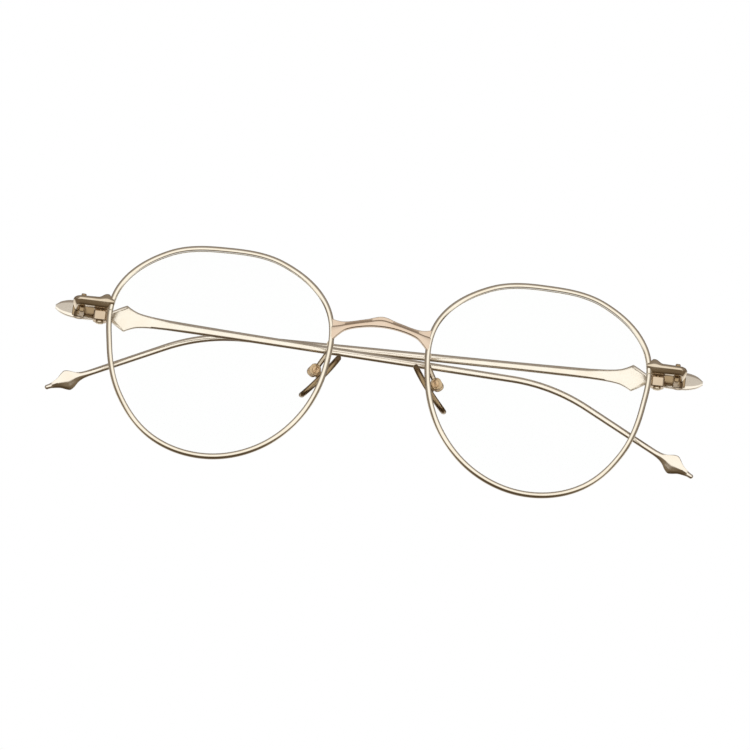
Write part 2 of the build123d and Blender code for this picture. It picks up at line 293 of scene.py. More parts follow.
def gold(name, colour, warm, roughness, grain, scratch_way=(1, 1, 1)):
    """Polished gold plating: warmer where the plating is thicker, with a painted highlight on edges and
    painted shade in corners, and fine polishing lines."""
    material, nodes, links, shader = new_material(name)
    at = nodes.new("ShaderNodeTexCoord").outputs["Object"]
    cloud = noise(nodes, links, at, CLOUD_SCALE, 3)
    plated = blend_colours(nodes, links, ramp(nodes, links, cloud, 0.35, 0.7, 0, 1), colour, warm)
    edge = nodes.new("ShaderNodeNewGeometry").outputs["Pointiness"]
    # Painted highlight: a lighter copy of the gold on convex edges.
    painted_highlight_tone = tuple(min(1.0, c * 1.08 + 0.02) for c in colour)
    # Painted shade: a darker copy of the gold in corners and hollows.
    painted_shade_tone = tuple(c * 0.55 for c in warm)
    bright = blend_colours(nodes, links, ramp(nodes, links, edge, 0.54, 0.64, 0, 0.8), plated, painted_highlight_tone)
    final = blend_colours(nodes, links, ramp(nodes, links, edge, 0.46, 0.38, 0, 0.7), bright, painted_shade_tone)
    links.new(final, shader.inputs["Base Color"])
    shader.inputs["Metallic"].default_value = 1.0
    fine = noise(nodes, links, at, SCRATCH_SCALE, 4, scratch_way)
    links.new(ramp(nodes, links, fine, 0.3, 0.75, roughness, roughness + grain), shader.inputs["Roughness"])
    bump = nodes.new("ShaderNodeBump")
    bump.inputs["Strength"].default_value = SCRATCH_BUMP
    bump.inputs["Distance"].default_value = SCRATCH_DEPTH
    links.new(fine, bump.inputs["Height"])
    links.new(bump.outputs[0], shader.inputs["Normal"])
    return material


def clear_lens():
    """A clear demonstration lens: light goes straight through, with a mirror film on its faces."""
    material, nodes, links, shader = new_material("clear_lens")
    nodes.remove(shader)
    at = nodes.new("ShaderNodeTexCoord").outputs["Object"]
    through = nodes.new("ShaderNodeBsdfTransparent")
    smear = noise(nodes, links, at, SMEAR_SCALE, 2)
    tint = blend_colours(nodes, links, smear, (0.999, 1.0, 0.999), (0.995, 0.997, 0.996))
    links.new(tint, through.inputs["Color"])
    mirror = nodes.new("ShaderNodeBsdfGlossy")
    mirror.inputs["Roughness"].default_value = 0.02
    fresnel = nodes.new("ShaderNodeFresnel")
    fresnel.inputs["IOR"].default_value = LENS_IOR
    mixed_surface(nodes, links, fresnel.outputs[0], through, mirror)
    return material


WIRE_GOLD = gold("wire_gold", (0.90, 0.85, 0.74), (0.86, 0.79, 0.66), 0.08, 0.07)
PLATE_GOLD = gold("plate_gold", (0.92, 0.87, 0.78), (0.89, 0.82, 0.71), 0.10, 0.07)
# Painted shade: a darker copy of the gold for the closing blocks, which sit in shade under the endpiece.
BLOCK_GOLD_PAINTED_SHADE = gold("block_gold_painted_shade", (0.63, 0.52, 0.39), (0.56, 0.44, 0.31), 0.12, 0.08)
# Painted shade: a darker copy of the gold for the hinge knuckles, which sit in shade behind the endpiece.
HINGE_GOLD_PAINTED_SHADE = gold("hinge_gold_painted_shade", (0.40, 0.30, 0.18), (0.30, 0.21, 0.12), 0.14, 0.10)
BAR_GOLD = gold("bar_gold", (0.72, 0.63, 0.50), (0.64, 0.54, 0.40), 0.10, 0.07)
BRIDGE_GOLD = gold("bridge_gold", (0.74, 0.61, 0.49), (0.72, 0.57, 0.44), 0.14, 0.08)
HOUSING_GOLD = gold("housing_gold", (0.56, 0.43, 0.28), (0.46, 0.33, 0.19), 0.14, 0.10)
PAD_GOLD = gold("pad_gold", (0.35, 0.26, 0.15), (0.26, 0.18, 0.10), 0.14, 0.10)
# Painted shade: a darker copy of the screw gold on the pad screws, so that their slots read dark.
PIN_GOLD_PAINTED_SHADE = gold("pin_gold_painted_shade", (0.68, 0.50, 0.32), (0.58, 0.40, 0.23), 0.16, 0.12, (1, 1, 6))
SCREW_GOLD = gold("screw_gold", (0.82, 0.72, 0.56), (0.74, 0.62, 0.45), 0.18, 0.14, (1, 1, 6))
LENS = clear_lens()


# ---- Eyewires and lenses ----
RIM_PLACE = Matrix.Translation((PUPIL_HALF, 0, 0)) @ Matrix.Rotation(radians(WRAP), 4, "Z")


def rim_radius(angle):
    step = 360 / len(RIM_RADII)
    k = int(angle // step)
    t = angle / step - k
    a, b, c, d = (RIM_RADII[(k + i) % len(RIM_RADII)] for i in (-1, 0, 1, 2))
    return b + 0.5 * t * (c - a + t * (2 * a - 5 * b + 4 * c - d + t * (3 * (b - c) + d - a)))


def shell_y(r):
    return (r * r - RIM_MEAN**2) / (2 * BASE_RADIUS)


def rim_point(angle, inset=0.0):
    r = rim_radius(angle % 360) - inset
    return Vector((r * cos(radians(angle)), shell_y(r), r * sin(radians(angle))))


def eyewire_section():
    """Round wire with a lens groove, as (inward, back) pairs: 0 inward is the wire's middle."""
    groove_half = LENS_THICK / 2 + LENS_GAP
    floor = WIRE_R - GROOVE_DEPTH
    lip = asin(groove_half / WIRE_R)
    pairs = [(WIRE_R * cos(a), WIRE_R * sin(a))
             for a in (lip + (2 * pi - 2 * lip) * i / 26 for i in range(27))]
    inward, across = GROOVE_EDGE
    return pairs + [(floor + inward, -groove_half), (floor, -groove_half + across),
                    (floor, groove_half - across), (floor + inward, groove_half)]


def eyewire():
    half_gap = degrees(SPLIT_GAP / 2 / RIM_MEAN)
    first, last = SPLIT_ANGLE + half_gap, SPLIT_ANGLE + 360 - half_gap
    stations = 240
    rings = []
    for i in range(stations + 1):
        angle = first + (last - first) * i / stations
        ahead = (rim_point(angle + 0.5) - rim_point(angle - 0.5)).normalized()
        inward = Vector((0, 1, 0)).cross(ahead).normalized()
        if inward.dot(rim_point(angle)) > 0:
            inward = -inward
        back = Vector((0, 1, 0))
        rings.append([rim_point(angle) + a * inward + b * back for a, b in eyewire_section()])
    return moved(skin(rings), RIM_PLACE)


def lens():
    """A shell on the base curve: two faces from the middle out, and a bevelled edge in the groove."""
    edge = WIRE_R - GROOVE_DEPTH + LENS_GAP
    spokes, circles = 180, 20
    half = LENS_THICK / 2
    inset, deep = LENS_BEVEL
    points, faces = [], []
    loops = [(i / circles, half) for i in range(1, circles)]
    loops += [(1 - inset, half), (1, half - deep), (1, -half + deep), (1 - inset, -half)]
    loops += [(i / circles, -half) for i in range(circles - 1, 0, -1)]
    for share, side in loops:
        for k in range(spokes):
            angle = 360 * k / spokes
            r = (rim_radius(angle) - edge) * share
            points.append(Vector((r * cos(radians(angle)), shell_y(r) + side, r * sin(radians(angle)))))
    for i in range(len(loops) - 1):
        for k in range(spokes):
            n = (k + 1) % spokes
            faces.append((i * spokes + k, i * spokes + n, (i + 1) * spokes + n, (i + 1) * spokes + k))
    for start, side, turn in ((0, half, 1), ((len(loops) - 1) * spokes, -half, -1)):
        points.append(Vector((0, shell_y(0) + side, 0)))
        for k in range(spokes):
            n = (k + 1) % spokes
            faces.append((start + n, start + k, len(points) - 1)[::turn])
    return moved((points, faces), RIM_PLACE)


# ---- Bridge: flared ends, a gull's-wing crest and a sunken line under the crest ----
NOSE_SIDE = (100.0, 215.0)  # degrees round the eyewire, between which its height falls steadily


def rim_edge(z):
    """How far from the middle the eyewire's centreline runs at height z, on the nose side."""
    low, high = NOSE_SIDE
    for _ in range(30):
        middle = (low + high) / 2
        if (RIM_PLACE @ rim_point(middle)).z > z:
            low = middle
        else:
            high = middle
    return (RIM_PLACE @ rim_point(low)).x


BRIDGE_HALF = 11.0         # where its ends meet the eyewires
BRIDGE_RISE = ((0.0, 12.3), (3.6, 11.35), (8.6, 10.4), (12.0, 11.3))
BRIDGE_FALL = ((0.0, 9.9), (4.0, 9.55), (7.8, 8.5), (9.7, 7.0), (12.0, 4.6))
CREST_SHARE = 0.36         # how much of its height the upper, leaning facet takes
CREST_LINE, CREST_DROP = 0.26, 0.17    # the narrow step below that facet


def mirrored_value(run, x):
    """A run's value at x, for a run that starts level on the middle line."""
    return run_value(((-run[1][0], run[1][1]), *run), abs(x))


def bridge_front(low, top):
    """The front's section from its lower to its upper edge, as (height, how far back) pairs."""
    tall = top - low
    crest = top - CREST_SHARE * tall
    upper = ((crest, 0.03), (crest + 0.05, 0.05), (top - 0.17, 0.11), (top - 0.05, 0.19), (top, 0.36))
    return [(low, 0.30), (low + 0.05, 0.12), (low + 0.16, 0.03), (low + 0.34 * tall, 0.0),
            (crest - CREST_LINE - 0.04, 0.02), (crest - CREST_LINE, 0.03),
            *((z, inset + CREST_DROP) for z, inset in upper)]


def bridge():
    stations = 72
    rings = []
    for i in range(stations + 1):
        u = -1 + 2 * i / stations
        low, top = (mirrored_value(run, u * BRIDGE_HALF) for run in (BRIDGE_FALL, BRIDGE_RISE))
        front, back = [], []
        for z, inset in bridge_front(low, top):
            v = (z - low) / (top - low)
            x = u * (BRIDGE_HALF + (rim_edge(z) - BRIDGE_HALF) * abs(u) ** 3)
            y = BRIDGE_FRONT + 0.08 + x * x / (2 * BRIDGE_BOW)
            front.append(Vector((x, y + inset, z)))
            rear = BRIDGE_THICK - 0.1 - 0.35 * (2 * v - 1) ** 4
            back.append(Vector((x, y + rear, z)))
        rings.append(front + back[::-1])
    return skin(rings)


# ---- Endpiece: one bar drawn along its plan, rounded, with a knob by the eyewire ----
ENDPIECE_START = 58.9      # inside the eyewire
BAR_TAPER = 0.14           # the share of its height that the bar loses by its outer end
BAR_BEND = 1.15            # radius of the turn from the bar into its leg
BAR_STEPS = 24
KNOB_RISE, KNOB_FALL, KNOB_LIFT = (0.2, 1.3), (1.7, 3.4), 0.85    # from the bar's start, and how high
ROOT_HEIGHT, ROOT_LENGTH = 0.80, 1.2       # the bar starts at this share of its height


def endpiece_path():
    start, inner, bend = ENDPIECE_START, BAR_END - LEG_THICK / 2, BAR_BEND
    path = [Vector((start + (inner - bend - start) * i / BAR_STEPS, BAR_Y, TEMPLE_Z))
            for i in range(BAR_STEPS + 1)]
    path += [Vector((inner - bend + bend * sin(a), BAR_Y + bend - bend * cos(a), TEMPLE_Z))
             for a in (radians(90 * i / 10) for i in range(1, 11))]
    path += [Vector((inner, BAR_Y + bend + (LEG_BACK - BAR_Y - bend) * i / 6, TEMPLE_Z))
             for i in range(1, 7)]
    return path


def bar_section(half_thick, half_high):
    """The bar's section: a flat band above the middle of its front, and a long bevel below it."""
    front = ((0.10, 1.0), (0.40, 0.97), (0.64, 0.86), (0.86, 0.64), (0.98, 0.46), (1.0, 0.36), (1.0, 0.12),
             (0.93, 0.0), (0.48, -0.58), (0.28, -0.86), (0.10, -0.98))
    back = ((-0.40, -1.0), (-0.76, -0.93), (-0.96, -0.74), (-1.0, -0.4), (-1.0, 0.4), (-0.96, 0.74),
            (-0.76, 0.93), (-0.40, 1.0))
    return [(x * half_thick, z * half_high) for x, z in (*front, *back)][::-1]


def endpiece():
    rings = []
    path = endpiece_path()
    for i, (point, across, up) in enumerate(frames_along(path, Vector((0, 0, 1)))):
        run = point.x - ENDPIECE_START
        knob = smooth(*KNOB_RISE, run) * (1 - smooth(*KNOB_FALL, run)) if i <= BAR_STEPS else 0.0
        taper = 1 - BAR_TAPER * smooth(3, 32, i)
        root = ROOT_HEIGHT + (1 - ROOT_HEIGHT) * smooth(0, ROOT_LENGTH, run)
        half_high = BAR_HEIGHT / 2 * taper * root
        half_thick = BAR_THICK / 2 - 0.02
        ring = []
        for x, z in bar_section(half_thick, half_high):
            lift = KNOB_LIFT * knob * max(z / half_high, 0) ** 2
            ring.append(point + x * across + (z + lift) * up)
        rings.append(ring)
    return skin(rings)


# ---- Fasteners ----
SLOT_HALF, SLOT_DEEP = 0.15, 0.26
SHAFT_CHAMFER = 0.08


def slotted_head(radius, height):
    """A domed head with a sunken slot: a fan of rings whose heights drop inside the slot."""
    slot_deep = min(SLOT_DEEP, 0.55 * height)
    sides, circles = 48, 12
    points, faces = [], []
    skirt = [(radius * 0.96, 0.0), (radius, 0.05), (radius, height * 0.55), (radius * 0.93, height * 0.8)]
    dome = [(radius * 0.93 * (1 - i / circles), height * (0.8 + 0.2 * (1 - (1 - i / circles) ** 2)))
            for i in range(1, circles)]
    profile = skirt + dome
    for r, z in profile:
        for k in range(sides):
            a = 2 * pi * k / sides
            x, y = r * cos(a), r * sin(a)
            inside = abs(y) < SLOT_HALF and z > height * 0.7
            points.append(Vector((x, y, z - slot_deep if inside else z)))
    for i in range(len(profile) - 1):
        for k in range(sides):
            n = (k + 1) % sides
            faces.append((i * sides + k, i * sides + n, (i + 1) * sides + n, (i + 1) * sides + k))
    last = (len(profile) - 1) * sides
    points.append(Vector((0, 0, height - slot_deep)))
    faces += [(last + k, last + (k + 1) % sides, len(points) - 1) for k in range(sides)]
    faces.append(tuple(range(sides - 1, -1, -1)))
    return points, faces


def shaft(radius, low, high):
    inner, c = radius - SHAFT_CHAMFER, SHAFT_CHAMFER
    return lathe([(inner, low), (radius, low + c), (radius, high - c), (inner, high)])


def closing_screw():
    place = Matrix.Translation((*BLOCK_AT, BLOCK_LOW))
    head = moved(slotted_head(HEAD_R, HEAD_HEIGHT), place @ Matrix.Rotation(pi, 4, "X"))
    return joined(moved(shaft(SCREW_R, 0, BLOCK_TOP - BLOCK_LOW - SCREW_SHORT), place), head)


def closing_half(low, high):
    """A rounded block round the screw, open where the screw goes through."""
    half_x, half_y = BLOCK_WIDE / 2, BLOCK_DEEP / 2
    outer = rounded_section(half_x, half_y, BLOCK_CORNER, 5)
    inner = [(SCREW_R * x / hypot(x, y), SCREW_R * y / hypot(x, y)) for x, y in outer]
    height, edge = high - low, BLOCK_EDGE
    loops = [(inner, 0, 1), (outer, 0, 1 - edge / half_x), (outer, edge, 1), (outer, height - edge, 1),
             (outer, height, 1 - edge / half_x), (inner, height, 1)]
    rings = [[Vector((BLOCK_AT[0] + x * k, BLOCK_AT[1] + y * k, low + z)) for x, y in pairs]
             for pairs, z, k in loops]
    return skin(rings, closed=True)


# ---- Hinges ----
BARREL_EDGE = 0.14
FRONT_FOOT, FRONT_WEB = (1.1, 2.9), 1.3    # foot: across and deep; web: across
FRONT_WEB_AT, FRONT_WEB_BITE = -0.4, 0.5   # off the pin to the side, and into the foot
TEMPLE_FOOT, TEMPLE_FOOT_END = (6.6, 0.5, 2.4), 1.6
TEMPLE_WEB = 1.5
WEB_LOW = 0.1              # a web is this much less high than its knuckle


def hinge_place(side, folded):
    place = Matrix.Translation(PIVOT) @ Matrix.Rotation(radians(LEAN[side]), 4, "Y")
    return place @ Matrix.Rotation(radians(-FOLD[side]), 4, "Z") if folded else place


def barrel(low, height, bore):
    top, edge = low + height, BARREL_EDGE
    return ring_lathe([(bore, low), (BARREL_R - edge, low), (BARREL_R, low + edge), (BARREL_R, top - edge),
                       (BARREL_R - edge, top), (bore, top)])


def front_hinge():
    outer = (BARREL_HEIGHT - KNUCKLE) / 2 - KNUCKLE_GAP
    inner_x = BAR_END - LEG_THICK - PIVOT.x
    back_y = LEG_BACK - PIVOT.y
    wide, deep = FRONT_FOOT
    parts = [soft_box((wide, deep, BARREL_HEIGHT), (inner_x - wide / 2, back_y - deep / 2, 0), 0.22)]
    for low in (KNUCKLE / 2 + KNUCKLE_GAP, -KNUCKLE / 2 - KNUCKLE_GAP - outer):
        parts.append(barrel(low, outer, BORE_R if low > 0 else SCREW_R))
        deep = -back_y - BORE_R + FRONT_WEB_BITE
        centre = (FRONT_WEB_AT, back_y - FRONT_WEB_BITE + deep / 2, low + outer / 2)
        parts.append(soft_box((FRONT_WEB, deep, outer - WEB_LOW), centre, 0.15))
    return joined(*parts)


def temple_hinge():
    long, thick, _ = TEMPLE_FOOT
    foot = soft_box(TEMPLE_FOOT, (TEMPLE_FOOT_END - long / 2, PLATE_OFFSET - thick / 2, 0), 0.2)
    deep = PLATE_OFFSET - BORE_R
    web = soft_box((TEMPLE_WEB, deep, KNUCKLE - WEB_LOW), (0, BORE_R + deep / 2, 0), 0.12)
    return joined(barrel(-KNUCKLE / 2, KNUCKLE, BORE_R), web, foot)


def hinge_screw():
    half = BARREL_HEIGHT / 2
    head = slotted_head(PIN_HEAD_R, PIN_HEAD_HEIGHT)
    return joined(shaft(SCREW_R, -half, half), moved(head, Matrix.Translation((0, 0, half))))


# ---- Temples ----
TIP_R = 0.52               # of the temple's round end
ARROW_TILT = 9.5           # the arrowhead's face leans back this much at its top
# Outlines below are (place along the temple from its hinge, half height) points. The arrowhead's two edges
# are heights, and the spear's places are measured back from the temple's end.
ARROW_TOP = ((-ARROW_TIP, 0.72), (-4.2, 1.70), (-2.2, 2.35), (0.3, 2.40), (3.2, 1.75), (6.0, 0.95))
ARROW_LOW = ((-ARROW_TIP, -0.02), (-4.2, -0.90), (-2.2, -1.50), (0.3, -1.65), (3.2, -1.45), (6.0, -0.95))
KITE_FRONT = ((6.0, 0.95), (7.2, 1.30), (8.7, 2.20), (10.2, 3.02))
KITE_BACK = ((10.2, 3.02), (11.5, 2.30), (13.0, 1.72), (15.5, 1.36), (19.5, 1.16))
WIRE = ((19.5, 1.16), (37.0, 0.98), (70.0, 0.88), (96.0, 0.78), (108.0, 0.75), (122.0, 0.72),
        (TEMPLE_LENGTH - 10, 0.68))
SPEAR_FRONT = ((10.0, 0.68), (8.6, 0.80), (7.4, 1.15), (6.2, 1.85), (5.4, 2.12), (5.0, 2.10))
SPEAR_BACK = ((5.0, 2.10), (4.3, 1.72), (3.4, 1.16), (2.4, 0.80), (1.4, 0.56), (0.9, TIP_R))
SPEAR_AT = TEMPLE_LENGTH - 10
SPEAR_TAIL = (TEMPLE_LENGTH - 2.0, TEMPLE_LENGTH - 0.8)
SPEAR_TURN = 18.0          # the spear is turned about its own length to face a little down
PLATE_FADE = (12.5, 24.0)  # the flat plate turns into wire along here
PLATE_BEVEL, BEVEL_GROWTH = 0.18, 0.16
CREST_HIGH, SPEAR_RIM = 0.60, 0.10         # half the spear's thickness at its ridge and at its rim, at most


def run_value(run, s):
    """A smooth curve through a run's (place, value) points."""
    for (s0, h0), (s1, h1) in zip(run, run[1:]):
        if s <= s1 or s1 == run[-1][0]:
            break
    i = run.index((s0, h0))
    before = run[i - 1] if i else (2 * s0 - s1, 2 * h0 - h1)
    after = run[i + 2] if i + 2 < len(run) else (2 * s1 - s0, 2 * h1 - h0)
    slope0, slope1 = (h1 - before[1]) / (s1 - before[0]), (after[1] - h0) / (after[0] - s0)
    w = s1 - s0
    t = (s - s0) / w
    return ((2 * t**3 - 3 * t * t + 1) * h0 + (t**3 - 2 * t * t + t) * w * slope0
            + (3 * t * t - 2 * t**3) * h1 + (t**3 - t * t) * w * slope1)


def half_height(s):
    if s < ARROW_TOP[-1][0]:
        return (run_value(ARROW_TOP, s) - run_value(ARROW_LOW, s)) / 2
    runs = [KITE_FRONT, KITE_BACK, WIRE]
    runs += [tuple((TEMPLE_LENGTH - back, h) for back, h in run) for run in (SPEAR_FRONT, SPEAR_BACK)]
    for run in runs:
        if s <= run[-1][0] + 1e-9:
            return run_value(run, s)
    along = (s - TEMPLE_LENGTH + TIP_R) / TIP_R
    return TIP_R * sqrt(max(1 - max(along, 0) ** 2, 0.0016))


def temple_stations():
    """Places along the temple, close together where its outline turns quickly."""
    steps = ((-ARROW_TIP, 6.0, 0.2), (6.0, 20.0, 0.25), (20.0, 88.0, 1.6), (88.0, 124.0, 0.8),
             (124.0, SPEAR_AT, 0.8), (SPEAR_AT, TEMPLE_LENGTH - TIP_R, 0.2),
             (TEMPLE_LENGTH - TIP_R, TEMPLE_LENGTH, 0.05))
    places = []
    for low, high, step in steps:
        count = ceil((high - low) / step)
        places += [low + (high - low) * i / count for i in range(count)]
    return places + [TEMPLE_LENGTH]


def temple_section(s):
    """24 (height, depth) pairs from the front round: a bevelled plate, an oval wire or a ridged spear."""
    h = half_height(s)
    flat = 1 - smooth(*PLATE_FADE, s)
    ridge = smooth(SPEAR_AT, SPEAR_AT + 3.2, s) * (1 - smooth(*SPEAR_TAIL, s))
    b = TEMPLE_THICK / 2
    wire_b = min(b, h)
    bevel = min(PLATE_BEVEL + BEVEL_GROWTH * smooth(4.0, 7.0, s), 0.5 * h)
    pairs = []
    for k in range(24):
        a = 2 * pi * k / 24
        oval = Vector((h * sin(a), -wire_b * cos(a)))
        pairs.append(oval.lerp(plate_point(k, h, b, bevel), flat).lerp(ridge_point(k, h), ridge))
    return pairs


def plate_point(k, h, b, bevel):
    """Point k of 24 round a flat plate with bevelled edges."""
    side = -1 if k > 12 else 1
    k = 24 - k if k > 12 else k
    if k <= 3:
        pair = ((h - bevel) * k / 3, -b)
    elif k >= 9:
        pair = ((h - bevel) * (12 - k) / 3, b)
    else:
        pair = ((h - 0.3 * bevel, -(b - 0.3 * bevel)), (h, -(b - bevel)), (h, 0), (h, b - bevel),
                (h - 0.3 * bevel, b - 0.3 * bevel))[k - 4]
    return Vector((side * pair[0], pair[1]))


def ridge_point(k, h):
    """Point k of 24 round two flat facets that meet on a line down the middle, front and back."""
    side = -1 if k > 12 else 1
    k = 24 - k if k > 12 else k
    crest, rim = min(CREST_HIGH, 0.36 + 0.2 * h), SPEAR_RIM
    shoulder, edge = 0.90 * h, rim + 0.12
    if k <= 3:
        pair = (shoulder * k / 3, -(edge + (crest - edge) * (1 - k / 3)))
    elif k >= 9:
        pair = (shoulder * (12 - k) / 3, edge + (crest - edge) * (1 - (12 - k) / 3))
    else:
        pair = (h * (1 - 0.015 * abs(k - 6)), rim * (k - 6) / 3)
    return Vector((side * pair[0], pair[1]))


def along_temple(s, t):
    """Where a point lies that is s along the temple and t above its middle, round the ear bend."""
    turn = radians(BEND_ANGLE)
    first = BEND_AT - BEND_RADIUS * tan(turn / 2)
    if s <= first:
        return s, t
    a = min((s - first) / BEND_RADIUS, turn)
    rest = s - first - BEND_RADIUS * a
    x = first + BEND_RADIUS * sin(a) + rest * cos(a)
    z = -BEND_RADIUS * (1 - cos(a)) - rest * sin(a)
    return x + t * sin(a), z + t * cos(a)


def temple():
    middle = PLATE_OFFSET + TEMPLE_THICK / 2
    rings = []
    for s in temple_stations():
        tilt = radians(ARROW_TILT) * (1 - smooth(4.5, 7.5, s))
        turned = smooth(SPEAR_AT - 1, SPEAR_AT + 3, s) * (1 - smooth(*SPEAR_TAIL, s))
        turn = radians(SPEAR_TURN) * turned
        lift = (run_value(ARROW_TOP, s) + run_value(ARROW_LOW, s)) / 2 if s < ARROW_TOP[-1][0] else 0.0
        ring = []
        for t, d in temple_section(s):
            x, z = along_temple(s, t + lift)
            d += t * (tan(tilt) - tan(turn))
            ring.append(Vector((-x, middle + d, z)))
        rings.append(ring)
    return skin(rings)


# ---- Nose pads ----
PAD_RIM, LUG_EDGE, EYE_PLAY = 0.32, 0.1, 0.06
PAD_FULLNESS = 0.72        # 1 makes the pad an ellipse, and less makes it fuller
slant, splay = radians(PAD_SLANT), radians(PAD_SPLAY)
PAD_OUT = Vector((cos(splay) * cos(slant), -sin(splay), cos(splay) * sin(slant)))
PAD_LONG = Vector((-sin(slant), 0, cos(slant)))
PAD_ACROSS = PAD_OUT.cross(PAD_LONG)
PAD_TURN = Matrix((PAD_LONG, PAD_ACROSS, PAD_OUT)).transposed().to_4x4()
PAD_PLACE = Matrix.Translation(PAD_HINGE - PAD_PIVOT * PAD_OUT) @ PAD_TURN
CROSS = Matrix.Rotation(radians(-90), 4, "X")


def full(value):
    """Swells an ellipse's cosine or sine towards a rounder-cornered oval."""
    return copysign(abs(value) ** PAD_FULLNESS, value)


def nose_pad():
    """An oval plate with a rounded rim and a slightly hollow nose face, and the lug on its outer face."""
    sides, half, rim = 96, PAD_THICK / 2, PAD_RIM
    profile = [(0.02, -half + 0.12), (0.5, -half + 0.10), (0.86, -half)]
    profile += [(1 - rim / 3 * (1 - sin(a)), -(half - rim) * cos(a) - rim * cos(a))
                for a in (radians(180 * i / 10) for i in range(1, 10))]
    profile += [(0.86, half), (0.5, half - 0.06), (0.02, half - 0.08)]
    rings = []
    for share, z in profile:
        ring = [Vector((share * PAD_LENGTH / 2 * full(cos(2 * pi * k / sides)),
                        share * PAD_WIDTH / 2 * full(sin(2 * pi * k / sides)), z)) for k in range(sides)]
        rings.append([p + Vector((0, 0, p.x**2 / (2 * PAD_BOW))) for p in ring])
    tall = PAD_PIVOT - PAD_SCREW_R
    lug = soft_box((2 * LUG_R, LUG_THICK, tall), (0, 0, tall / 2), LUG_EDGE)
    return moved(joined(skin(rings), lug, lug_eye()), PAD_PLACE)


def lug_eye():
    """The ring at the lug's end, with play round the screw."""
    bore, face, edge = PAD_SCREW_R + EYE_PLAY, LUG_THICK / 2, LUG_EDGE
    profile = [(bore, -face), (LUG_R - edge, -face), (LUG_R, edge - face), (LUG_R, face - edge),
               (LUG_R - edge, face), (bore, face)]
    return moved(ring_lathe(profile), Matrix.Translation((0, 0, PAD_PIVOT)) @ CROSS)


def pad_box():
    """A small open box: two cheeks beside the lug, a roof over it, all rounded."""
    slot_half = LUG_THICK / 2 + LUG_PLAY
    tall = PAD_BOX_TOP - PAD_BOX_LOW
    cheek = PAD_BOX_WIDE / 2 - slot_half
    turned = Matrix.Translation((0, 0, PAD_BOX_LOW + tall / 2)) @ CROSS
    parts = [moved(round_block((PAD_BOX_LONG, tall, cheek), PAD_BOX_ROUND),
                   Matrix.Translation((0, way * (slot_half + cheek / 2), 0)) @ turned) for way in (1, -1)]
    roof = tall - PAD_SLOT_HIGH
    size = (PAD_BOX_LONG - PAD_BOX_ROUND, 2 * slot_half + 0.2, roof)
    between = soft_box(size, (0, 0, PAD_BOX_TOP - roof / 2), 0.12)
    return moved(joined(*parts, between), PAD_PLACE)


def round_block(size, corner):
    """A block about the origin, generously rounded seen along Z, with softened ends."""
    edge = 0.14
    half_x, half_y, half_z = (k / 2 for k in size)
    rings = []
    for z, draw in ((-half_z, edge), (-half_z + 0.3 * edge, 0.3 * edge), (-half_z + edge, 0.0),
                    (half_z - edge, 0.0), (half_z - 0.3 * edge, 0.3 * edge), (half_z, edge)):
        section = rounded_section(half_x - draw, half_y - draw, corner - draw, 8)
        rings.append([Vector((x, y, z)) for x, y in section])
    return skin(rings)


def pad_screw():
    half = PAD_BOX_WIDE / 2
    head = moved(slotted_head(PAD_HEAD_R, PAD_HEAD_HEIGHT), Matrix.Translation((0, 0, half)))
    place = PAD_PLACE @ Matrix.Translation((0, 0, PAD_PIVOT)) @ CROSS
    return moved(joined(shaft(PAD_SCREW_R, -half, half), head), place)


def pad_arm_radius(share):
    """Wider at the solder foot, and a little thinner towards the box."""
    return PAD_ARM_R * (1.0 + 0.32 * smooth(0.16, 0.0, share) - 0.08 * smooth(0.3, 0.6, share))


def pad_arm():
    """Wire from the back of the eyewire, back and then down into the box."""
    end = PAD_PLACE @ Vector((PAD_BOX_LONG / 2 - 0.1, 0, (PAD_BOX_LOW + PAD_BOX_TOP) / 2))
    root = RIM_PLACE @ (rim_point(PAD_ARM_AT) + Vector((0, PAD_ARM_SET * WIRE_R, 0)))
    corner = Vector((root.x, end.y, root.z + PAD_ARM_RISE))
    path = rounded_path([root, corner, end], PAD_ARM_BEND)
    return tube(path, pad_arm_radius, Vector((1, 0.02, 0.3)).normalized())


def rounded_path(corners, radius, steps=14):
    """Straight runs joined by a tangent arc."""
    a, b, c = corners
    to_a, to_c = (a - b).normalized(), (c - b).normalized()
    half = to_a.angle(to_c) / 2
    reach = radius / tan(half)
    centre = b + (to_a + to_c).normalized() * (radius / sin(half))
    start, stop = b + to_a * reach, b + to_c * reach
    path = [a.lerp(start, i / 12) for i in range(12)]
    arm0, arm1 = start - centre, stop - centre
    turn = arm0.angle(arm1)
    path += [centre + (arm0 * sin(turn * (1 - i / steps)) + arm1 * sin(turn * i / steps)) / sin(turn)
             for i in range(steps)]
    return path + [stop.lerp(c, i / 8) for i in range(9)]


